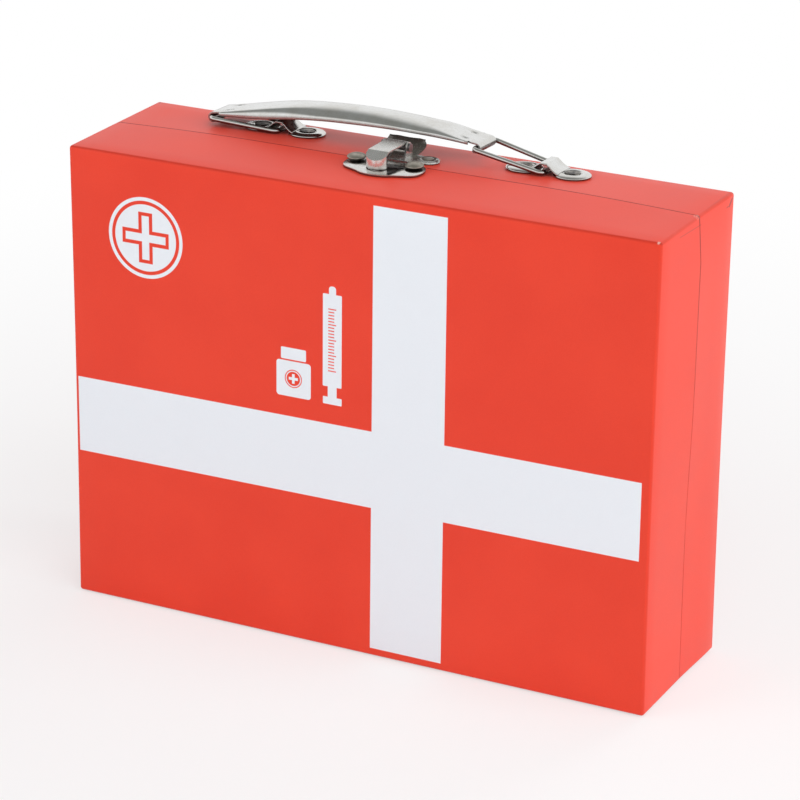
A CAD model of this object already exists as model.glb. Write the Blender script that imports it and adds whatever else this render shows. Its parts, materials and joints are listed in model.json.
# %% [markdown]
# # A toy doctor's case of printed paper and tin
#
# The solids of the case come from its CAD model. They are the frame of this scene, in metres, and
# stand where they belong. This lesson dresses them: it lays the printed paper, the wire and the
# pressed tin over the solids, finishes every surface with nodes, and sets up the light.

# %% Load the frame
import json
import math

import bmesh
import bpy
from mathutils import Matrix, Vector


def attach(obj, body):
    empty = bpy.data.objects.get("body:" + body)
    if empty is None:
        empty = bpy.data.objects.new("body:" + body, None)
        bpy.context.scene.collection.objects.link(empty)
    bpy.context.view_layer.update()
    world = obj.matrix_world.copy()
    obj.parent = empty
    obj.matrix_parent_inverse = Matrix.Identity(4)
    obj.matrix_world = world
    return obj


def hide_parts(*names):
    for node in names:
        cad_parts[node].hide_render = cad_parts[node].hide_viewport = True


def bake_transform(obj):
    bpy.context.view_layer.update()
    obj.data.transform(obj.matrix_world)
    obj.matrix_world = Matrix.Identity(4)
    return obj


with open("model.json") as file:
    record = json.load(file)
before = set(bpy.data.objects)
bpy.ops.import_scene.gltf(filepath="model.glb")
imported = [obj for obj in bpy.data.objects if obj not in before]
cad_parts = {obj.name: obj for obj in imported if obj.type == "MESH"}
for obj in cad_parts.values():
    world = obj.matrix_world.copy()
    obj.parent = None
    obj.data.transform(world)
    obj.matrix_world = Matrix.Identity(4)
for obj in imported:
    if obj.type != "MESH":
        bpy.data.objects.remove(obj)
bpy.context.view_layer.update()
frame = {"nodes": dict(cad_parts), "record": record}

mm = 0.001

# %% [markdown]
# ## The sizes that the pieces share
#
# The case stands closed. Its front half is the lid and its rear half the base, and they meet in a
# seam across the top. Both tops rise a little towards that seam, because board bows, so the metal
# parts stand on two gentle slopes. Three small matrices place them there.

# %% Shared sizes and places
case_width = 240.0 * mm
case_height = 182.2 * mm
front_y = -33.35 * mm
lid_seam_y = 1.15 * mm
base_seam_y = 1.45 * mm
back_y = 33.35 * mm
top_bow = 1.4 * mm
bow_run = 60.0 * mm


def seat_matrix(x, y):
    """Places a piece on the sloping top: its own z is the height above the paper."""
    if y > base_seam_y:
        rise = top_bow * (back_y - y) / (back_y - base_seam_y)
        slope = -math.atan(top_bow / (back_y - base_seam_y))
    else:
        rise = top_bow * (y - front_y) / (lid_seam_y - front_y)
        slope = math.atan(top_bow / (lid_seam_y - front_y))
    return Matrix.Translation((x, y, case_height + rise)) @ Matrix.Rotation(slope, 4, "X")


handle_seat = seat_matrix(0, 20.0 * mm)
print("handle seat", [round(v / mm, 2) for v in handle_seat.translation])

# %% [markdown]
# ## The camera
#
# A long lens far off, as in a catalogue picture: the edges that run away from us hardly close in.
# The angles and the distance were worked out from the seven corners of the case that can be seen.

# %% Camera
view_azimuth = math.radians(26.3537)
view_elevation = math.radians(21.3534)
view_roll = math.radians(0.6615)
view_distance = 5.43753 * case_width
view_target = Vector((0.012934, 0, 0.379718)) * case_width
lens_px = 3461.58
frame_px = 800
sensor_mm = 36

toward_camera = Vector((math.sin(view_azimuth) * math.cos(view_elevation),
                        -math.cos(view_azimuth) * math.cos(view_elevation),
                        math.sin(view_elevation)))
level_right = Vector((math.cos(view_azimuth), math.sin(view_azimuth), 0))
level_up = toward_camera.cross(level_right)
view_right = math.cos(view_roll) * level_right + math.sin(view_roll) * level_up
view_up = math.cos(view_roll) * level_up - math.sin(view_roll) * level_right

camera_data = bpy.data.cameras.new("camera")
camera_data.sensor_width = sensor_mm
camera_data.lens = lens_px * sensor_mm / frame_px
camera_data.clip_end = 20
camera = bpy.data.objects.new("camera", camera_data)
bpy.context.collection.objects.link(camera)
turn = Matrix((view_right, view_up, toward_camera)).transposed().to_4x4()
camera.matrix_world = Matrix.Translation(view_target + toward_camera * view_distance) @ turn
bpy.context.scene.camera = camera
print("lens", round(camera_data.lens, 2), "at", [round(v, 4) for v in camera.location])

# %% [markdown]
# ## Sums of sockets
#
# A material is a net of nodes, and its maths soon takes dozens of them. One small class wraps a
# node's output, so that a pattern can be written as an ordinary sum: each plus or times adds the
# Math node that does it. Every other node comes from the same method, `node`.

# %% A class for shader maths


class Wire:
    """One output of a node. Sums of wires and numbers add Math nodes to the same tree."""

    def __init__(self, tree, socket=None):
        self.tree = tree
        self.socket = socket

    def node(self, kind, settings=None, sockets=None, output=0):
        """Adds a node, gives it its settings, then its sockets' values or links."""
        fresh = self.tree.nodes.new(kind)
        for name, value in (settings or {}).items():
            if name == "stops":
                ramp = fresh.color_ramp
                while len(ramp.elements) < len(value):
                    ramp.elements.new(1)
                for element, (place, colour) in zip(ramp.elements, value):
                    element.position = place
                    element.color = (*colour, 1)
            else:
                setattr(fresh, name, value)
        for name, value in (sockets or {}).items():
            entry = fresh.inputs[name]
            if isinstance(value, Wire):
                self.tree.links.new(value.socket, entry)
            else:
                entry.default_value = value
        return Wire(self.tree, fresh.outputs[output])

    def sibling(self, key):
        """Another output of the node that this wire comes from."""
        return Wire(self.tree, self.socket.node.outputs[key])

    def maths(self, operation, *values, clamp=False):
        return self.node("ShaderNodeMath", {"operation": operation, "use_clamp": clamp},
                         dict(enumerate(values)))

    def __add__(self, other):
        return self.maths("ADD", self, other)

    def __radd__(self, other):
        return self.maths("ADD", other, self)

    def __sub__(self, other):
        return self.maths("SUBTRACT", self, other)

    def __rsub__(self, other):
        return self.maths("SUBTRACT", other, self)

    def __mul__(self, other):
        return self.maths("MULTIPLY", self, other)

    def __rmul__(self, other):
        return self.maths("MULTIPLY", other, self)

    def __truediv__(self, other):
        return self.maths("DIVIDE", self, other)

    def __neg__(self):
        return self.maths("MULTIPLY", self, -1.0)

    def __abs__(self):
        return self.maths("ABSOLUTE", self)

    def __pow__(self, other):
        return self.maths("POWER", self, other)

    def least(self, other):
        return self.maths("MINIMUM", self, other)

    def most(self, other):
        return self.maths("MAXIMUM", self, other)

    def clamped(self):
        return self.maths("ADD", self, 0.0, clamp=True)

    def ease(self, low, high):
        """0 below low and 1 above high, with a smooth step between them."""
        return self.node("ShaderNodeMapRange", {"interpolation_type": "SMOOTHSTEP"},
                         {"Value": self, "From Min": low, "From Max": high})

    def filled(self, sharpness, level=0.5):
        """Takes this wire as a distance: 1 inside the shape and 0 outside it."""
        return (level - self * sharpness).clamped()

    def mixed(self, first, second):
        """The colour first where this wire is 0 and second where it is 1.

        A Mix node keeps its two colours in sockets 6 and 7 and the result in output 2.
        """
        return self.node("ShaderNodeMix", {"data_type": "RGBA"},
                         {0: self, 6: first, 7: second}, 2)

    def noise(self, scale, detail, roughness, stretch=(1, 1, 1)):
        """Noise on the object's own coordinates, with scale in grains to the metre."""
        place = self.node("ShaderNodeVectorMath", {"operation": "MULTIPLY"},
                          {0: self.position(), 1: stretch})
        return self.node("ShaderNodeTexNoise", {"noise_dimensions": "3D"},
                         {"Vector": place, "Scale": scale, "Detail": detail, "Roughness": roughness})

    def position(self):
        return self.node("ShaderNodeTexCoord", output=3)

    def axes(self):
        """The object's x, y and z in millimetres."""
        split = self.node("ShaderNodeSeparateXYZ", {}, {0: self.position()})
        return [split.sibling(k) * 1000.0 for k in range(3)]

    def bump(self, height, distance, strength):
        return self.node("ShaderNodeBump", {},
                         {"Height": height, "Distance": distance, "Strength": strength})


def start_finish(name, **plain):
    """A new material, its wire to write sums with, and its shader with the plain sockets set."""
    material = bpy.data.materials.new(name)
    material.use_nodes = True
    tree = material.node_tree
    shader = tree.nodes["Principled BSDF"]
    for socket, value in plain.items():
        shader.inputs[socket.replace("_", " ")].default_value = value
    return material, Wire(tree), shader


def feed(shader, **wires):
    """Links what varies over the surface to the shader's sockets."""
    for socket, wire in wires.items():
        wire.tree.links.new(wire.socket, shader.inputs[socket.replace("_", " ")])


print("Math nodes come from sums now")

# %% [markdown]
# ## The floor
#
# The case stands on a sheet of white paper that runs on into a white background. Plain white
# paper would come out grey here, because the lamps are set for the case. So the floor also glows,
# towards the camera alone: it clears to white far off and still keeps the shadow by the case.

# %% Floor
floor_height = -0.6 * mm
near_glow = 0.58


def pale_floor():
    material, wire, shader = start_finish("pale_floor", Roughness=0.9, Base_Color=(0.9, 0.88, 0.88, 1))
    camera_ray = wire.node("ShaderNodeLightPath")
    glow = wire.node("ShaderNodeEmission", {}, {"Color": (1, 1, 1, 1), "Strength": 1.0})
    x, y = wire.axes()[:2]
    far = ((x * x + y * y) ** 0.5).ease(150.0, 600.0)
    seen = camera_ray * (near_glow + far * (1 - near_glow))
    sheet = Wire(wire.tree, shader.outputs[0])
    mixed = wire.node("ShaderNodeMixShader", {}, {0: seen, 1: sheet, 2: glow})
    end = wire.tree.nodes["Material Output"]
    wire.tree.links.new(mixed.socket, end.inputs["Surface"])
    return material


bm = bmesh.new()
bmesh.ops.create_grid(bm, x_segments=1, y_segments=1, size=3.0)
bmesh.ops.translate(bm, verts=bm.verts, vec=(0, 0, floor_height))
floor_mesh = bpy.data.meshes.new("floor")
bm.to_mesh(floor_mesh)
bm.free()
floor_mesh.materials.append(pale_floor())
floor = bpy.data.objects.new("floor", floor_mesh)
bpy.context.collection.objects.link(floor)
print("floor laid at", round(floor_height / mm, 2), "mm")

# %% [markdown]
# ## The light
#
# Large soft lamps, as in a studio for catalogue pictures: one high on the right, one beside the
# right wall, one on the left to fill the shadows, and one behind that lights the top. None of them
# shows in the metal. What polished tin mirrors is the sky, which is bright near the horizon and
# dim overhead: without a dark patch to mirror, metal looks like white plastic.

# %% Sky and lamps


def studio_sky():
    world = bpy.data.worlds.new("studio")
    world.use_nodes = True
    tree = world.node_tree
    wire = Wire(tree)
    direction = wire.node("ShaderNodeTexCoord", output=0)
    split = wire.node("ShaderNodeSeparateXYZ", {}, {0: direction})
    height = split.sibling(2)
    depth = split.sibling(1)
    dim = height.ease(0.38, 0.74) * (1 - depth.ease(0.30, 0.90))
    mirrored = dim.mixed((0.93, 0.94, 0.95, 1), (0.27, 0.28, 0.275, 1))
    path = wire.node("ShaderNodeLightPath")
    glossy = path.sibling("Is Glossy Ray")
    camera_ray = path.sibling("Is Camera Ray")
    lit = glossy.mixed((0.42, 0.42, 0.43, 1), mirrored)
    shown = camera_ray.mixed(lit, (1, 1, 1, 1))
    backdrop = tree.nodes["Background"]
    tree.links.new(shown.socket, backdrop.inputs["Color"])
    backdrop.inputs["Strength"].default_value = 1.0
    bpy.context.scene.world = world


def soft_lamp(name, place, aim, size, power):
    lamp = bpy.data.lights.new(name, "AREA")
    lamp.shape = "SQUARE"
    lamp.size = size
    lamp.energy = power
    holder = bpy.data.objects.new(name, lamp)
    bpy.context.collection.objects.link(holder)
    direction = Vector(aim) - Vector(place)
    holder.matrix_world = (Matrix.Translation(place)
                           @ direction.to_track_quat("-Z", "Y").to_matrix().to_4x4())
    holder.visible_glossy = False


studio_sky()
soft_lamp("key_lamp", (0.9, -0.9, 1.5), (0, 0, 0.08), 1.1, 11.3)
soft_lamp("side_lamp", (1.6, 0.1, 0.7), (0.1, 0, 0.08), 1.0, 11.8)
soft_lamp("fill_lamp", (-1.1, -1.3, 0.9), (0, 0, 0.08), 1.2, 10.0)
soft_lamp("back_lamp", (0.3, 1.5, 1.1), (0, 0, 0.18), 0.8, 6.5)
bpy.context.scene.view_settings.view_transform = "Standard"

# %% [markdown]
# ## The printed paper
#
# Matt laminated paper: a saturated orange red with a fine grain, and on the front two crossing
# white bands, a round badge with a cross, a small bottle and a syringe. Each printed shape is
# written as a distance: negative inside the shape, positive outside. The least of two distances
# joins shapes and the greatest cuts them, so a badge is a handful of sums on x and z.

# %% Shapes of the print


def disc(x, z, centre, radius):
    across = x - centre[0]
    up = z - centre[1]
    return (across * across + up * up) ** 0.5 - radius


def block(x, z, low, high, corner=0.0):
    """A rectangle from its low to its high corner, with rounded corners if asked."""
    across = abs(x - (low[0] + high[0]) / 2) - ((high[0] - low[0]) / 2 - corner)
    up = abs(z - (low[1] + high[1]) / 2) - ((high[1] - low[1]) / 2 - corner)
    if not corner:
        return across.most(up)
    outside = (across.most(0.0) ** 2.0 + up.most(0.0) ** 2.0) ** 0.5
    return outside + across.most(up).least(0.0) - corner


def plus(x, z, centre, arm, width):
    bar = block(x, z, (centre[0] - arm, centre[1] - width / 2), (centre[0] + arm, centre[1] + width / 2))
    post = block(x, z, (centre[0] - width / 2, centre[1] - arm), (centre[0] + width / 2, centre[1] + arm))
    return bar.least(post)


def white_bands(x, z):
    upright = block(x, z, (8.1, 3.2), (37.8, 178.6))
    lean = (x + 118.1) * 0.0064
    level = block(x, z - lean, (-118.1, 59.7), (115.9, 90.2))
    return upright.least(level)


def round_badge(x, z):
    centre = (-87.2, 150.9)
    edge = disc(x, z, centre, 15.9)
    rim = edge.most(-disc(x, z, centre, 14.5))
    field = disc(x, z, centre, 13.1)
    outline = plus(x, z, centre, 10.0, 6.0).most(-plus(x, z, centre, 8.6, 3.1))
    return rim.least(field.most(-outline))


def bottle(x, z):
    cap = block(x, z, (-29.8, 113.4), (-19.3, 118.0), 0.5)
    body = block(x, z, (-31.7, 98.7), (-17.3, 112.8), 1.2)
    label = disc(x, z, (-24.6, 105.9), 3.6)
    ring = abs(disc(x, z, (-24.6, 105.9), 3.0)) - 0.2
    cross = plus(x, z, (-24.6, 105.9), 1.9, 1.1)
    return cap.least(body.most(-label)).least(ring).least(cross)


def syringe(x, z):
    tip = block(x, z, (-9.8, 141.0), (-6.9, 144.9), 1.2)
    barrel = block(x, z, (-12.3, 105.6), (-4.5, 141.8), 0.4)
    stem = block(x, z, (-10.2, 101.0), (-6.5, 105.9))
    foot = block(x, z, (-12.2, 98.65), (-4.4, 101.5), 0.3)
    pitch = 1.21
    step = (136.0 - z) / pitch
    nearest = step.maths("ROUND", step)
    away = abs(step - nearest) * pitch - 0.22
    fifth = nearest / 5.0
    is_long = 1 - (abs(fifth - fifth.maths("ROUND", fifth)) * 10.0).clamped()
    right_end = -7.6 + is_long * 0.8
    ticks = away.most(-10.1 - x).most(x - right_end)
    ticks = ticks.most(z - 136.6).most(111.2 - z)
    return tip.least(barrel).least(stem).least(foot).most(-ticks)


print("shapes of the print: two bands, a badge, a bottle and a syringe")

# %% [markdown]
# ## Wear
#
# A case that is carried about is rubbed at its edges. The paper is darker along the seam, at the
# folds and at the corners, the right wall has two creases and a fold near the top, and in two
# spots the print has chipped and the pale paper under it shows. A painted mask would do this too.
# Here every mark is one more distance, placed by hand, so it stays sharp however close we come.

# %% Wear of the paper


def stroke(across, up, start, end, width):
    """Distance to a straight mark between two points of one wall."""
    run = (end[0] - start[0], end[1] - start[1])
    length = math.hypot(*run)
    way = (run[0] / length, run[1] / length)
    along = (across - start[0]) * way[0] + (up - start[1]) * way[1]
    beside = abs((across - start[0]) * way[1] - (up - start[1]) * way[0])
    past = (abs(along - length / 2) - length / 2).most(0.0)
    return (beside * beside + past * past) ** 0.5 - width / 2


def edge_wear(x, y, z, grain):
    """Masks for what use has left: dark creases and folds, and pale chips where the print is gone."""
    front = front_y / mm
    right_wall = x.ease(118.6, 119.2)
    crease = stroke(y, z, (2.6, 178.6), (-17.0, 179.5), 0.3)
    crease = crease.least(stroke(y, z, (1.2, 181.2), (1.3, 178.6), 0.4))
    fold = stroke(y, z, (30.9, 180.2), (28.6, 178.2), 1.1)
    fold = fold.least(stroke(y, z, (28.6, 178.2), (26.0, 178.2), 0.3))
    speck = disc(x, y, (-118.2, 31.2), 0.5).most(181.5 - z)
    marks = crease.filled(5.0) * right_wall * 0.45 + fold.filled(3.0) * right_wall * 0.8
    marks = marks + speck.filled(4.0) * 0.8

    folded = z.ease(181.1, 182.2) * (1 - z.ease(183.0, 183.4)) * (1 - y.ease(front + 0.4, front + 1.6))
    corner = x.ease(118.9, 119.8) * (1 - y.ease(front + 0.3, front + 1.3))
    ridge = x.ease(118.7, 119.6) * z.ease(180.9, 181.9)
    seam_edge = (1 - abs(y - 1.3).ease(0.15, 0.6)) * (0.12 + z.ease(90.0, 178.0) * 0.5)
    rubbed = folded * 0.4 + corner * 0.15 + ridge * 0.25 + seam_edge

    front_chip = disc(x, z, (118.5, 182.1), 0.45).most(y - (front + 1.2))
    seam_chip = disc(y, x, (0.4, 119.3), 1.4).most(181.3 - z)
    bare = front_chip.filled(3.0, 0.6) + seam_chip.filled(2.0) * grain.ease(0.52, 0.58)
    return (marks + rubbed).clamped(), bare.clamped()


print("wear: creases, a fold, a speck, two chips and rubbed edges")

# %% [markdown]
# ## The finish of the paper
#
# The colour is built in layers, as the real thing is: two close reds, mixed by a slow cloud and a
# fine grain, then the white of the print, then the dark wear, then the bare chips. The grain also
# raises a faint bump, and a little sheen gives the soft bloom of matt laminate.

# %% Paper finish


def printed_paper():
    material, wire, shader = start_finish("printed_paper", Specular_IOR_Level=0.46, Sheen_Weight=0.16,
                                           Sheen_Roughness=0.35, Sheen_Tint=(1.0, 0.93, 0.92, 1))
    x, y, z = wire.axes()
    shapes = white_bands(x, z).least(round_badge(x, z)).least(bottle(x, z)).least(syringe(x, z))
    on_front = 1 - (y - (front_y / mm + 0.25)).ease(0.0, 0.1)
    white = shapes.filled(5.0) * on_front
    grain = wire.noise(2600, 3, 0.6)
    cloud = wire.noise(26, 3, 0.55)
    red = (cloud * 0.6 + grain * 0.4).ease(0.3, 0.7).mixed((0.79, 0.036, 0.009, 1), (0.85, 0.047, 0.014, 1))
    pale = grain.mixed((0.80, 0.85, 0.90, 1), (0.86, 0.90, 0.94, 1))
    dark, bare = edge_wear(x, y, z, grain)
    worn_print = dark.mixed(white.mixed(red, pale), (0.22, 0.012, 0.008, 1))
    feed(shader,
         Base_Color=bare.mixed(worn_print, (0.80, 0.40, 0.34, 1)),
         Roughness=0.36 + cloud * 0.07 + grain * 0.07,
         Normal=wire.bump(grain, 0.05 * mm, 0.5))
    return material


paper_finish = printed_paper()
print("paper nodes:", len(paper_finish.node_tree.nodes))

# %% [markdown]
# ## Paper over the two halves
#
# Each half of the case is a shallow box of board with paper drawn over it. The box starts as a
# cube. Its outer edges are rounded, its open side is inset for the turned-in rim, and the middle
# is taken away. The sheet is then cut into strips so it can bend: the top bows, the sides
# draw in by a few tenths of a millimetre, as board does when its glue dries, and the right bulges.

# %% Build the halves
paper_round = 1.2 * mm
rim_width = 2.6 * mm
paper_thickness = 0.5 * mm
drawn_in_mm = 0.4
bulge_mm = 1.3
flare_mm = 0.7


def new_piece(name, bm, finish, body, smooth_angle=40):
    mesh = bpy.data.meshes.new(name)
    bm.to_mesh(mesh)
    bm.free()
    mesh.shade_smooth()
    if smooth_angle:
        mesh.set_sharp_from_angle(angle=math.radians(smooth_angle))
    mesh.materials.append(finish)
    piece = bpy.data.objects.new(name, mesh)
    bpy.context.collection.objects.link(piece)
    if body:
        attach(piece, body)
    return piece


def cut_into_strips(bm, axis, places):
    normal = [0, 0, 0]
    normal[axis] = 1
    for place in places:
        spot = [0, 0, 0]
        spot[axis] = place
        everything = bm.verts[:] + bm.edges[:] + bm.faces[:]
        bmesh.ops.bisect_plane(bm, geom=everything, plane_co=spot, plane_no=normal, dist=0.001 * mm)


def smooth_step(value, low, high):
    share = min(max((value - low) / (high - low), 0), 1)
    return share * share * (3 - 2 * share)


def board_shape(point, seam_y, outer_y):
    """Where a point of a true box lies on the real case: its top bows and its right side bulges."""
    x, y, z = point
    reach_share = (y - outer_y) / (seam_y - outer_y)
    run_share = min((case_width / 2 - abs(x)) / bow_run, 1)
    rise = top_bow * math.sin(math.pi / 2 * max(run_share, 0)) * reach_share * z / case_height
    waist = math.sin(math.pi * min(max(z / case_height, 0), 1))
    side_share = min(abs(x) / (case_width / 2), 1)
    drawn_in = drawn_in_mm * mm * waist * side_share ** 3
    bulge = smooth_step(z, 50 * mm, 120 * mm) * (1 - smooth_step(z, 168 * mm, 180 * mm))
    bulge = bulge * reach_share * bulge_mm
    flare = flare_mm * smooth_step(y, 1.5 * mm, 30 * mm)
    spread = (bulge + flare) * mm * smooth_step(x, 80 * mm, 119 * mm)
    return Vector((x - math.copysign(drawn_in, x) + spread, y, z + rise))


def seam_face(bm, seam_y):
    return min(bm.faces, key=lambda face: abs(face.calc_center_median().y - seam_y))


def paper_half(name, outer_y, seam_y, body, node):
    bm = bmesh.new()
    bmesh.ops.create_cube(bm, size=1)
    size = (case_width, abs(seam_y - outer_y), case_height)
    bmesh.ops.scale(bm, verts=bm.verts, vec=size)
    bmesh.ops.translate(bm, verts=bm.verts, vec=(0, (seam_y + outer_y) / 2, case_height / 2))
    open_side = seam_face(bm, seam_y)
    edges = [edge for edge in bm.edges if edge not in open_side.edges[:]]
    bmesh.ops.bevel(bm, geom=edges, offset=paper_round, offset_type="OFFSET", affect="EDGES",
                    segments=5, profile=0.5, material=-1, clamp_overlap=True)
    open_side = seam_face(bm, seam_y)
    bmesh.ops.inset_region(bm, faces=[open_side], thickness=rim_width, use_even_offset=True)
    open_side = max((face for face in bm.faces if abs(face.calc_center_median().y - seam_y) < 0.01 * mm),
                    key=lambda face: face.calc_area())
    bmesh.ops.delete(bm, geom=[open_side], context="FACES_ONLY")
    cut_into_strips(bm, 0, [x * mm for x in range(-110, 111, 10)])
    cut_into_strips(bm, 2, [z * mm for z in range(15, 180, 15)])
    cut_into_strips(bm, 1, [outer_y + (seam_y - outer_y) * k / 4 for k in range(1, 4)])
    for vert in bm.verts:
        vert.co = board_shape(vert.co, seam_y, outer_y)
    bmesh.ops.recalc_face_normals(bm, faces=bm.faces)
    piece = new_piece(name, bm, paper_finish, body)
    wall = piece.modifiers.new("sheet", "SOLIDIFY")
    wall.thickness = paper_thickness
    wall.offset = -1
    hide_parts(node)
    print(name, "faces", len(piece.data.polygons))


paper_half("lid_paper", front_y, lid_seam_y, "lid", "lid_wrap")
paper_half("base_paper", back_y, base_seam_y, "base", "base_wrap")

# %% [markdown]
# ## Finishes for the metal
#
# Nickel plate on thin pressed steel is bright and slightly milky, with fine scratches from front
# to back and a little yellow where it has aged. It is polished from above only, so faces that
# look down stay dull. The lever and the plate behind it are worn, and that plate's tail has
# tarnished. The rivets are browner, and blotched in the dishes of the brackets. Tail and dishes
# are found by y alone, since the pieces stand one behind the other. Nothing here is a flat colour:
# the roughness carries the wear and the bump carries the dents of the press.

# %% Metal finishes


def underside(wire, start):
    """1 where the surface faces down, where no polishing wheel has reached."""
    facing = wire.node("ShaderNodeTexCoord", output=1)
    split = wire.node("ShaderNodeSeparateXYZ", {}, {0: facing})
    return (-split.sibling(2)).ease(start, start + 0.5)


def nickel(name, gloss_loss, dull_from=-0.33, haze=0.0, tarnish_depth=0.0):
    material, wire, shader = start_finish(name)
    cloud = wire.noise(110, 3, 0.55)
    fine = wire.noise(900, 4, 0.65)
    scratch = wire.noise(2600, 2, 0.6, (1, 0.08, 1))
    under = underside(wire, dull_from)
    tarnish = wire.axes()[1].ease(8.5, 10.5) * tarnish_depth
    plate = (cloud * 0.7 + fine * 0.3).ease(0.3, 0.75).mixed((0.80, 0.795, 0.775, 1), (0.66, 0.635, 0.585, 1))
    tint = tarnish.mixed(plate, (0.20, 0.19, 0.165, 1))
    feed(shader,
         Base_Color=under.mixed(tint, (0.15, 0.135, 0.13, 1)),
         Metallic=1 - haze - tarnish * 0.6,
         Roughness=gloss_loss + fine.ease(0.45, 0.8) * 0.12 + scratch.ease(0.55, 0.75) * 0.08 + under * 0.25,
         Normal=wire.bump(cloud + fine * 0.15, 0.05 * mm, 0.35))
    return material


def satin():
    material, wire, shader = start_finish("satin_nickel", Metallic=1.0)
    cloud = wire.noise(300, 3, 0.6)
    patch = wire.noise(420, 2, 0.5)
    fine = wire.noise(2400, 3, 0.6)
    in_dish = wire.axes()[1].ease(12.0, 15.0)
    dome_tint = cloud.ease(0.3, 0.7).mixed((0.64, 0.59, 0.51, 1), (0.44, 0.40, 0.335, 1))
    dish_tint = patch.ease(0.42, 0.60).mixed((0.07, 0.06, 0.055, 1), (0.36, 0.335, 0.295, 1))
    tint = in_dish.mixed(dome_tint, dish_tint)
    feed(shader,
         Base_Color=underside(wire, -0.25).mixed(tint, (0.07, 0.06, 0.055, 1)),
         Roughness=0.34 + fine * 0.16,
         Normal=wire.bump(cloud * 0.6 + fine * 0.4, 0.04 * mm, 0.5))
    return material


def spring_steel():
    material, wire, shader = start_finish("spring_steel", Metallic=1.0)
    fine = wire.noise(1800, 3, 0.6, (0.1, 1, 1))
    cloud = wire.noise(160, 2, 0.5)
    tint = cloud.mixed((0.42, 0.42, 0.44, 1), (0.30, 0.29, 0.29, 1))
    feed(shader,
         Base_Color=tint,
         Roughness=0.24 + fine * 0.2,
         Normal=wire.bump(fine, 0.02 * mm, 0.4))
    return material


nickel_finish = nickel("bright_nickel", 0.13)
worn_finish = nickel("worn_nickel", 0.24, dull_from=-0.05, haze=0.1, tarnish_depth=1.0)
satin_finish = satin()
steel_finish = spring_steel()
print("metal finishes:", [m.name for m in (nickel_finish, worn_finish, satin_finish, steel_finish)])

# %% [markdown]
# ## Finishes for the board and its lining
#
# Greyboard is pressed waste paper: grey with darker and lighter flecks, rough and soft. The
# lining is a plain off-white paper, glued down, so it shows faint clouds of glue and a light grain.

# %% Board finishes


def greyboard():
    material, wire, shader = start_finish("greyboard", Specular_IOR_Level=0.3)
    cloud = wire.noise(90, 4, 0.6)
    fleck = wire.noise(1500, 3, 0.7)
    base = cloud.mixed((0.44, 0.42, 0.39, 1), (0.36, 0.345, 0.32, 1))
    feed(shader,
         Base_Color=fleck.ease(0.62, 0.70).mixed(base, (0.62, 0.60, 0.56, 1)),
         Roughness=0.82 + fleck * 0.14,
         Normal=wire.bump(fleck, 0.08 * mm, 0.6))
    return material


def lining():
    material, wire, shader = start_finish("lining_paper", Specular_IOR_Level=0.4)
    cloud = wire.noise(38, 4, 0.55)
    grain = wire.noise(2200, 3, 0.6)
    tint = (cloud * 0.75 + grain * 0.25).ease(0.3, 0.7).mixed((0.87, 0.855, 0.82, 1), (0.80, 0.78, 0.735, 1))
    feed(shader,
         Base_Color=tint,
         Roughness=0.66 + cloud * 0.1 + grain * 0.08,
         Normal=wire.bump(cloud * 0.4 + grain * 0.2, 0.12 * mm, 0.4))
    return material


board_finish = greyboard()
lining_finish = lining()

finishes = {"printed_paper": paper_finish, "greyboard": board_finish, "lining_paper": lining_finish,
            "nickel_plate": nickel_finish, "satin_nickel": satin_finish, "spring_steel": steel_finish}
for row in frame["record"]["subparts"]:
    solid = frame["nodes"][row["node"]]
    for place in solid.material_slots:
        place.material = finishes[row["material_slot"]]

# %% [markdown]
# ## Tools for pressed tin
#
# Almost every metal piece here is a sheet, stamped flat and then bent. So each starts as a flat
# grid of squares, and a short rule says where a point of the flat sheet ends up. The Solidify
# modifier gives it the thickness of the tin, and a narrow Bevel rounds its edges: those two lines
# of light are what makes an edge look like metal.

# %% Helpers for pressed pieces


def soften(piece, width):
    """Rounds every edge of the piece that bends by more than fifty degrees."""
    soft_edge = piece.modifiers.new("edges", "BEVEL")
    soft_edge.width = width
    soft_edge.segments = 3
    soft_edge.limit_method = "ANGLE"
    soft_edge.angle_limit = math.radians(50)


def pressed_sheet(name, bm, place, thickness, finish, body, edge=0.12 * mm):
    """Sheet metal from a bent grid, in the frame given by place."""
    bmesh.ops.transform(bm, matrix=place, verts=bm.verts)
    piece = new_piece(name, bm, finish, body, 0)
    wall = piece.modifiers.new("tin", "SOLIDIFY")
    wall.thickness = thickness
    wall.offset = -1
    soften(piece, edge)
    return piece


def bent_grid(columns, rows, rule, keep=None):
    """A grid of squares whose corner (i, j) the rule moves, less the squares that keep refuses."""
    bm = bmesh.new()
    bmesh.ops.create_grid(bm, x_segments=columns, y_segments=rows, size=0.5)
    spots = {}
    for vert in bm.verts:
        spots[vert] = (round((vert.co.x + 0.5) * columns), round((vert.co.y + 0.5) * rows))
    if keep:
        spare = [face for face in bm.faces
                 if not keep(min(spots[v][0] for v in face.verts), min(spots[v][1] for v in face.verts))]
        bmesh.ops.delete(bm, geom=spare, context="FACES")
    for vert in bm.verts:
        vert.co = rule(*spots[vert])
    return bm


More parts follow.
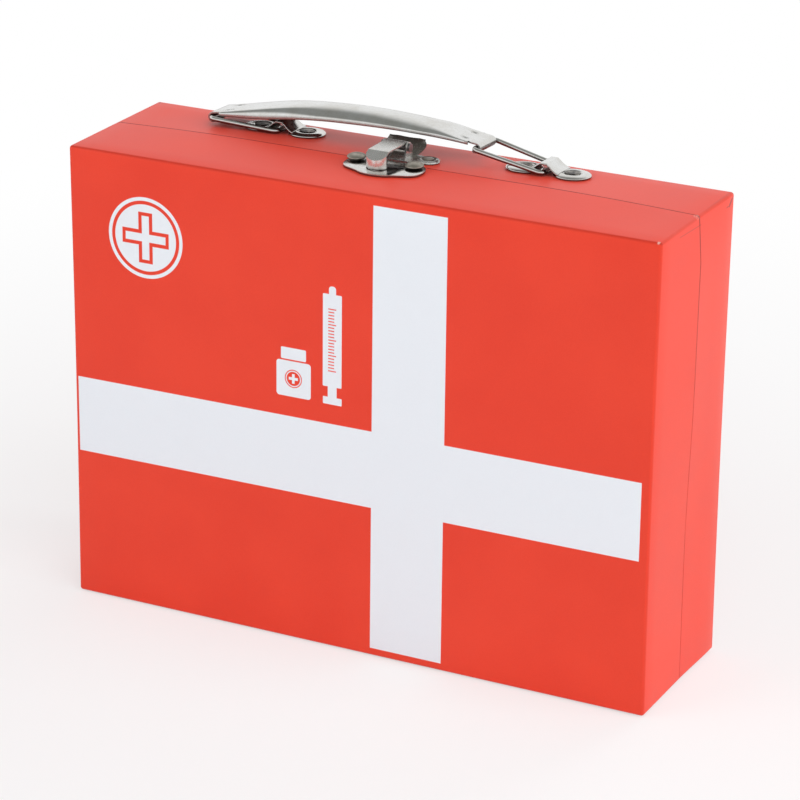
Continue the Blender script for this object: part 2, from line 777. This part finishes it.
def turned(profile, centre=(0, 0, 0), steps=48):
    """Spins a line of (radius, height) points once round the upright axis through the centre."""
    bm = bmesh.new()
    line = bmesh.ops.create_circle(bm, segments=len(profile), radius=1)["verts"]
    for vert, (radius, height) in zip(line, profile):
        vert.co = (radius, 0, height)
    closing = [edge for edge in bm.edges if set(edge.verts) == {line[0], line[-1]}]
    bmesh.ops.delete(bm, geom=closing, context="EDGES")
    bmesh.ops.spin(bm, geom=bm.verts[:] + bm.edges[:], cent=(0, 0, 0), axis=(0, 0, 1),
                   angle=2 * math.pi, steps=steps, use_merge=True, dvec=(0, 0, 0))
    bmesh.ops.remove_doubles(bm, verts=bm.verts, dist=0.001 * mm)
    bmesh.ops.recalc_face_normals(bm, faces=bm.faces)
    bmesh.ops.translate(bm, verts=bm.verts, vec=centre)
    return bm


def rounded_run(points, steps=6):
    """A smooth closed line through hand-placed points, with short chords between them."""
    count = len(points)
    line = []
    for i in range(count):
        before, start, end, after = (Vector(points[(i + k - 1) % count]) for k in range(4))
        for k in range(steps):
            t = k / steps
            line.append(0.5 * (2 * start + (end - before) * t
                               + (2 * before - 5 * start + 4 * end - after) * t ** 2
                               + (3 * start - before - 3 * end + after) * t ** 3))
    return line


def blank(outline, holes=()):
    """A flat face with the outline, less round or square holes: a stamped blank."""
    bm = bmesh.new()
    for ring in (outline, *holes):
        loop = bmesh.ops.create_circle(bm, segments=len(ring), radius=1)["verts"]
        for vert, (x, y) in zip(loop, ring):
            vert.co = (x, y, 0)
    bmesh.ops.triangle_fill(bm, use_beauty=True, use_dissolve=False, edges=bm.edges[:], normal=(0, 0, 1))
    bmesh.ops.recalc_face_normals(bm, faces=bm.faces)
    if sum(face.normal.z for face in bm.faces) < 0:
        bmesh.ops.reverse_faces(bm, faces=bm.faces)
    return bm


def ring_of(x, y, radius, count=24):
    return [(x + radius * math.cos(2 * math.pi * k / count), y + radius * math.sin(2 * math.pi * k / count))
            for k in range(count)]


def joined(pieces):
    """Several bmesh bodies in one, for a piece that is welded or stamped from several forms."""
    whole = bmesh.new()
    for bm in pieces:
        mesh = bpy.data.meshes.new("joined")
        bm.to_mesh(mesh)
        bm.free()
        whole.from_mesh(mesh)
        bpy.data.meshes.remove(mesh)
    return whole


print("a 4 by 4 grid has", len(bent_grid(4, 4, lambda i, j: (i, j, 0)).faces), "squares")

# %% [markdown]
# ## The grip
#
# One strip of tin, about eleven centimetres long. It arches from end to end and is domed from side
# to side: nearly flat at its ends and full in the middle. Its two long edges turn down, and at the
# bottom inwards to a small lip, so that they don't cut the hand. At each end a tongue runs on and
# curls round the link's wire, which is the hinge. Modelling this by hand would take long, but one
# rule can bend a grid: `along` counts from the left pivot and `across` from the middle.

# %% Grip
wire_r = 0.95 * mm
tin = 0.7 * mm
curl_r = wire_r + 0.35 * mm + tin
grip_arch = 5.4 * mm
link_mm = 27.6
link_length = link_mm * mm
left_bar = Vector((-56.8, 0, 1.3)) * mm
right_bar = Vector((53.2, 0, 1.3)) * mm
left_lean = math.asin(1.7 / link_mm)
right_lean = math.asin(5.6 / link_mm)
left_pivot = left_bar + link_length * Vector((-math.cos(left_lean), 0, math.sin(left_lean)))
right_pivot = right_bar + link_length * Vector((-math.cos(right_lean), 0, math.sin(right_lean)))
grip_length = (right_pivot - left_pivot).length
grip_tilt = math.atan2(right_pivot.z - left_pivot.z, right_pivot.x - left_pivot.x)
grip_place = handle_seat @ Matrix.Translation(left_pivot) @ Matrix.Rotation(-grip_tilt, 4, "Y")
curl_steps = 12
lead_steps = 4
plate_steps = 84
grip_columns = 2 * (curl_steps + lead_steps) + plate_steps
grip_rows = 40
flat_rows = 14
set_in = 3.0 * mm
tongue_half = 6.9 * mm
edge_round = 1.1 * mm
lip = 1.1 * mm
dome_height = 1.5 * mm
dent_depth = 0.7 * mm
dent_inset = 5.6 * mm
dent_half = 4.2 * mm


def grip_top(along):
    return curl_r + grip_arch * math.sin(math.pi * min(max(along / grip_length, 0), 1))


def dimple(along, across):
    """How deep a point lies in the dents by each tongue, left by the tool that curled it."""
    depth = 0
    for end in (dent_inset, grip_length - dent_inset):
        for side in (-1, 1):
            away = math.hypot((along - end) / 1.5, across - side * dent_half)
            depth += dent_depth * (1 - smooth_step(away, 0.2 * mm, 1.2 * mm))
    return depth


def grip_rule(i, j):
    """Bends corner (i, j) of the flat strip into a curl, a tongue, the dome or a turned edge."""
    from_left = i <= grip_columns / 2
    step = i if from_left else grip_columns - i
    side = (j - grip_rows / 2) / (grip_rows / 2)
    flat_share = flat_rows / (grip_rows / 2)
    if step < curl_steps + lead_steps:
        y = min(max(side / flat_share, -1), 1) * tongue_half
        if step < curl_steps:
            angle = math.pi / 2 + math.pi * 1.28 * (1 - step / curl_steps)
            x, z = curl_r * math.cos(angle), curl_r * math.sin(angle)
        else:
            x = set_in * (step - curl_steps) / lead_steps
            z = grip_top(x) - dimple(x, y)
        return (x if from_left else grip_length - x, y, z)
    share = (i - curl_steps - lead_steps) / plate_steps
    along = set_in + (grip_length - 2 * set_in) * share
    place = along / grip_length
    swell = math.sin(math.pi * place)
    half = (7.4 + 1.5 * min(swell * 1.6, 1)) * mm
    skirt = (1.3 + 2.1 * smooth_step(place, -0.05, 0.22) * (1 - smooth_step(place, 0.5, 0.98))) * mm
    fullness = smooth_step(place, 0.0, 0.44) * (1 - smooth_step(place, 0.80, 0.98))
    dome = dome_height * fullness
    reach = abs(side)
    lip_share = 0
    if reach <= flat_share:
        y = reach / flat_share * (half - edge_round)
    else:
        turned_share = (reach - flat_share) / (1 - flat_share) * 1.5
        lip_share = max(turned_share - 1, 0) * 2
        y = half - edge_round * (1 - math.sin(math.pi / 2 * min(turned_share, 1)))
    crown = (1 - min(y / half, 1) ** (2.2 + 12 * (1 - fullness))) ** 0.62
    z = grip_top(along) + lip - skirt + (dome + skirt - lip) * crown - lip * lip_share
    return (along, math.copysign(y, side), z - dimple(along, math.copysign(y, side)))


def grip_keep(i, j):
    """The strip is narrow at its tongues, so the squares beside them go."""
    step = i if i < grip_columns / 2 else grip_columns - 1 - i
    inside = grip_rows / 2 - flat_rows <= j < grip_rows / 2 + flat_rows
    return inside or step >= curl_steps + lead_steps


grip = pressed_sheet("grip", bent_grid(grip_columns, grip_rows, grip_rule, grip_keep), grip_place, tin,
                     nickel_finish, "grip")
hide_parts("handle_grip")
print("grip", round(grip_length / mm, 1), "mm between pivots, leaning",
      round(math.degrees(grip_tilt), 2), "degrees")

# %% [markdown]
# ## The wire links
#
# Each link is a closed loop of wire with four rounded corners, a little wider at the grip than at
# the bracket. A curve with a round bevel is the natural way to make wire: the line carries the
# bends and the bevel the thickness. Two points of the line stand at each corner, one on either
# side of it, and their handles pull the wire round.

# %% Links


def wire_link(name, bar, lean, body, node):
    corners = [(0, -6.8), (0, 6.8), (-link_mm, 8.95), (-link_mm, -8.95)]
    path = bpy.data.curves.new(name, "CURVE")
    path.dimensions = "3D"
    path.bevel_depth = wire_r
    path.bevel_resolution = 6
    path.resolution_u = 8
    spline = path.splines.new("BEZIER")
    spline.bezier_points.add(2 * len(corners) - 1)
    place = handle_seat @ Matrix.Translation(bar) @ Matrix.Rotation(lean, 4, "Y")
    radius = 2.0
    for i in range(len(corners)):
        corner = Vector(corners[i])
        ways = ((Vector(corners[i - 1]) - corner).normalized(),
                (Vector(corners[(i + 1) % len(corners)]) - corner).normalized())
        for k in range(2):
            point = spline.bezier_points[2 * i + k]
            spot = corner + ways[k] * radius
            toward = corner + ways[k] * radius * 0.45
            away = corner + ways[k] * radius * 2
            inner, outer = (place @ (Vector((p.x, p.y, 0)) * mm) for p in (toward, away))
            point.co = place @ (Vector((spot.x, spot.y, 0)) * mm)
            point.handle_right = inner if k == 0 else outer
            point.handle_left = outer if k == 0 else inner
    spline.use_cyclic_u = True
    path.materials.append(nickel_finish)
    piece = bpy.data.objects.new(name, path)
    bpy.context.collection.objects.link(piece)
    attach(piece, body)
    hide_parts(node)


wire_link("left_link", left_bar, left_lean, "link_left", "link_left")
wire_link("right_link", right_bar, right_lean, "link_right", "link_right")
print("links lean", round(math.degrees(left_lean), 1), "and", round(math.degrees(right_lean), 1), "degrees")

# %% [markdown]
# ## The handle brackets
#
# Each bracket is stamped from one piece: two round ears, dished for a rivet, and a strap between
# them that rises over the link's bar. The ears are turned like bowls and the strap is a bent grid:
# a flat top, a shallow groove at each fold, straight flanks, and feet that widen into the ears.

# %% Brackets
ear_half = 9.6 * mm
strap_columns, strap_rows = 48, 12


def bracket_ear(x):
    profile = [(1.7, 0.55), (3.0, 0.55), (3.4, 0.62), (3.6, 1.05), (3.95, 1.25), (5.0, 1.24), (6.0, 1.08),
               (6.6, 0.86), (6.95, 0.62), (7.1, 0.38), (7.08, 0.1), (6.9, 0.0), (1.7, 0.0)]
    return turned([(r * mm, z * mm) for r, z in profile + profile[:1]], (x, 0, 0.3 * mm), 64)


def strap_rule(i, j):
    x = 6.2 * (i / strap_columns * 2 - 1)
    rise = 4.35 - 3.75 * min(max((abs(x) - 1.55) / 4.1, 0), 1) - 0.6 * smooth_step(abs(x), 5.2, 7.2)
    rise -= 0.3 * (1 - smooth_step(abs(abs(x) - 1.8), 0.0, 0.5))
    shoulder = smooth_step(abs(x), 2.6, 6.2)
    half = 5.4 + 0.5 * shoulder
    side = j / strap_rows * 2 - 1
    settle = 0.95 + 0.25 * (1 - abs(side) ** 4)
    return Vector((x, side * half, settle * shoulder + rise * (1 - shoulder * 0.35) + 0.45)) * mm


def handle_bracket(name, centre, node):
    strap = bent_grid(strap_columns, strap_rows, strap_rule)
    bmesh.ops.solidify(strap, geom=strap.faces[:], thickness=0.75 * mm)
    whole = joined([strap, bracket_ear(-ear_half), bracket_ear(ear_half)])
    bmesh.ops.transform(whole, matrix=handle_seat @ Matrix.Translation((centre, 0, 0)), verts=whole.verts)
    piece = new_piece(name, whole, nickel_finish, "base", 0)
    soften(piece, 0.26 * mm)
    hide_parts(node)


handle_bracket("left_bracket", -56.8 * mm, "bracket_left")
handle_bracket("right_bracket", 52.8 * mm, "bracket_right")
print("ears", round(2 * ear_half / mm, 1), "mm apart")

# %% [markdown]
# ## The catch plate and its rivets
#
# A stamped plate on the lid, with a wavy front edge and a slot for the lever's nose. Its outline
# is a smooth closed line through a few points, and the flat blank between outline and slot is
# filled in one step. Two mushroom rivets hold it: a turned profile gives neck, dome and, inside
# the case, the end that is hammered over the washer.

# %% Catch
catch_seat = seat_matrix(-2.6 * mm, -6.5 * mm)
catch_line = [(0, -9.2), (4.3, -8.6), (7.2, -7.1), (9.6, -6.1), (12.6, -4.9), (14.6, -2.9), (15.3, 0.6),
              (14.5, 4.6), (11.6, 7.0), (6.0, 6.9)]
catch_ring = [Vector(p) * mm for p in catch_line]
catch_ring += [Vector((-p.x, p.y)) for p in reversed(catch_ring[1:])]
right_stretch, left_stretch = 1.11, 0.96
catch_ring = [Vector((p.x * (right_stretch if p.x > 0 else left_stretch), p.y)) for p in catch_ring]
slot_ring = [(x * mm, y * mm) for x, y in ((-2.6, -4.6), (2.6, -4.6), (2.6, -3.4), (-2.6, -3.4))]
catch = pressed_sheet("catch", blank([(p.x, p.y) for p in rounded_run(catch_ring)], [slot_ring]),
                      catch_seat @ Matrix.Translation((0, 0, 1.0 * mm)), tin, nickel_finish, "lid",
                      edge=0.18 * mm)
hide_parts("catch_plate")

tail_profile = [(0, -4.9), (1.6, -4.9), (2.15, -4.75), (2.3, -4.55), (2.3, -4.3), (1.5, -4.3)]
dome_profile = [(1.5, 1.2), (2.6, 1.25), (3.3, 1.55), (3.55, 1.8), (3.6, 1.98), (3.5, 2.2), (3.1, 2.5),
                (2.45, 2.8), (1.6, 3.02), (0.75, 3.13), (0, 3.16)]


def turned_rivet(name, place, profile, body, node):
    bm = turned([(r * mm, z * mm) for r, z in profile])
    bmesh.ops.transform(bm, matrix=place, verts=bm.verts)
    piece = new_piece(name, bm, satin_finish, body, 45)
    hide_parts(node)


for side, label in ((-1, "left"), (1, "right")):
    turned_rivet("catch_dome_" + label, catch_seat @ Matrix.Translation((side * 11.9 * mm, 3.8 * mm, 0)),
                 tail_profile + dome_profile, "lid", "catch_rivet_" + label)
catch_width = max(p.x for p in catch_ring) - min(p.x for p in catch_ring)
print("catch plate", round(catch_width / mm, 1), "mm wide")

# %% [markdown]
# ## The hasp
#
# The rear half of the latch. A plate with two round eyelets carries two upright lugs for the pin,
# and a flared tail that a thumb can press. These are plain forms, so each is made in the way that
# suits it: blanks for the plate and the lugs, a turned ring for the eyelet, a bent grid for the
# tail. They are joined into one piece, as the press would leave them.

# %% Hasp plate
hasp_seat = seat_matrix(-1.0 * mm, 8.7 * mm)
lever_shift = -2.2
pin_y, pin_z = -1.4, 5.0
hasp_sheet = 0.7 * mm
tail_columns, tail_rows = 16, 14


def lug(side):
    """The ear beside the lever on one side: a flat blank with a hole for the pin, stood on edge."""
    line = [(-5.7, 0.4), (3.4, 0.4), (2.6, 1.6)]
    for k in range(13):
        angle = -math.pi / 6 + math.pi * 1.05 * k / 12
        line.append((pin_y + 2.0 * math.cos(angle), pin_z + 2.0 * math.sin(angle)))
    line.append((-4.4, 1.8))
    bm = blank([(y * mm, z * mm) for y, z in line], [ring_of(pin_y * mm, pin_z * mm, 1.3 * mm)])
    bmesh.ops.solidify(bm, geom=bm.faces[:], thickness=hasp_sheet)
    # The blank's x and y become the case's y and z.
    stand = Matrix(((0, 0, 1, 0), (1, 0, 0, 0), (0, 1, 0, 0), (0, 0, 0, 1)))
    inner = lever_shift + (4.5 if side > 0 else -5.2)
    low = min((stand @ vert.co).x for vert in bm.verts)
    bmesh.ops.transform(bm, matrix=Matrix.Translation((inner * mm - low, 0, 0)) @ stand, verts=bm.verts)
    return bm


def tail_rule(i, j):
    t = i / tail_columns
    side = 1 - j / tail_rows * 2
    half = 4.8 + 3.4 * math.sin(math.pi / 2 * min(t * 1.35, 1))
    round_off = smooth_step(t, 0.72, 1) * 1.6
    y = 1.2 + 9.0 * t - smooth_step(abs(side), 0.55, 1) * round_off
    low = 0.3 + 5.2 * (1 - math.cos(math.pi / 2 * t)) ** 0.8 + 0.56
    dished = 0.5 * side * side * smooth_step(t, 0.1, 0.7) - 0.5 * smooth_step(t, 0.1, 0.7)
    return Vector((-2.6 + side * (half - round_off * 0.5), y, low + dished)) * mm


def eyelet_ear(x):
    profile = [(2.3, 0.55), (2.75, 0.75), (3.0, 1.08), (3.45, 1.2), (3.95, 1.0), (4.3, 0.6), (4.4, 0.2),
               (4.3, 0.0), (1.9, 0.0), (1.9, 0.5)]
    return turned([(r * mm, z * mm) for r, z in profile + profile[:1]], (x * mm, 0, 0.3 * mm))


plate_line = [(-7.6, -5.6), (-6.8, -6.4), (6.8, -6.4), (7.6, -5.6), (7.6, 3.4), (6.8, 4.2), (-6.8, 4.2),
              (-7.6, 3.4)]
plate_bm = blank([(x * mm, y * mm) for x, y in plate_line])
bmesh.ops.translate(plate_bm, verts=plate_bm.verts, vec=(0, 0, 0.3 * mm))
bmesh.ops.solidify(plate_bm, geom=plate_bm.faces[:], thickness=-hasp_sheet)
tail_bm = bent_grid(tail_columns, tail_rows, tail_rule)
bmesh.ops.solidify(tail_bm, geom=tail_bm.faces[:], thickness=0.56 * mm)
hasp_bm = joined([plate_bm, tail_bm, lug(-1), lug(1), eyelet_ear(-10.3), eyelet_ear(10.3)])
bmesh.ops.transform(hasp_bm, matrix=hasp_seat, verts=hasp_bm.verts)
hasp = new_piece("hasp", hasp_bm, worn_finish, "base", 35)
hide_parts("hasp_plate")
print("hasp faces", len(hasp.data.polygons))

# %% [markdown]
# ## The lever
#
# The part of the latch that moves: one strip that curls round the pin, runs flat over the seam,
# slopes down and ends in a rounded nose with shallow flutes, which snaps into the catch. Again a
# rule bends a grid, whose columns are shared out between the four stretches of the strip.

# %% Lever
pin_place = Matrix.Translation(hasp_seat @ Vector((lever_shift * mm, pin_y * mm, pin_z * mm)))
eye_r = 2.1
lever_half = 4.2
facet_start = -14.8
lever_rows = 20
curl_end, flat_end, slope_end, nose_end = 14, 22, 26, 34


def lever_rule(i, j):
    x = lever_half * math.sin(math.pi / 2 * (2 * j / lever_rows - 1))
    setback = 3.6 * (1 - math.sqrt(max(1 - (x / lever_half) ** 2 * 0.92, 0)))
    front = -19.2 + setback
    drop = eye_r - 0.6 * (facet_start - front)
    if i <= curl_end:
        angle = -math.pi * 0.55 + math.pi * 1.05 * i / curl_end
        y, z = eye_r * math.cos(angle), eye_r * math.sin(angle)
    elif i <= flat_end:
        y, z = facet_start * (i - curl_end) / (flat_end - curl_end), eye_r
    elif i <= slope_end:
        share = (i - flat_end) / (slope_end - flat_end)
        y, z = facet_start + (front - facet_start) * share, eye_r + (drop - eye_r) * share
    else:
        share = (i - slope_end) / (nose_end - slope_end)
        flute = 0.5 + 0.5 * math.cos(2 * math.pi * x / 2.6)
        y, z = front - 0.16 * flute * math.sin(math.pi * share), drop + (-3.9 - drop) * share
    return Vector((x, y, z)) * mm


lever = pressed_sheet("lever", bent_grid(nose_end, lever_rows, lever_rule), pin_place, tin, worn_finish,
                      "hasp", edge=0.14 * mm)
lever.data.set_sharp_from_angle(angle=math.radians(24))
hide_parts("hasp_lever")
print("lever pin at", [round(v / mm, 2) for v in pin_place.translation])

# %% [markdown]
# ## The fold under the case
#
# The lid has no metal hinge. A strip of the same paper runs across the seam underneath and folds
# as the lid opens, so it belongs to both halves: it follows the base on one side of the seam and
# the lid on the other, and bends in between.

# %% Bottom fold
fold_length = 234 * mm
fold_width = 10 * mm
fold_bm = bmesh.new()
bmesh.ops.create_grid(fold_bm, x_segments=40, y_segments=24, size=0.5)
bmesh.ops.scale(fold_bm, verts=fold_bm.verts, vec=(fold_length, fold_width, 1))
bmesh.ops.translate(fold_bm, verts=fold_bm.verts, vec=(0, 1.3 * mm, -0.05 * mm))
bmesh.ops.reverse_faces(fold_bm, faces=fold_bm.faces)
fold = new_piece("bottom_fold", fold_bm, paper_finish, None, 0)
fold_wall = fold.modifiers.new("sheet", "SOLIDIFY")
fold_wall.thickness = 0.2 * mm
fold_wall.offset = 1
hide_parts("hinge_fold")
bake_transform(fold)
print("fold strip", round(fold_width / mm), "mm wide")
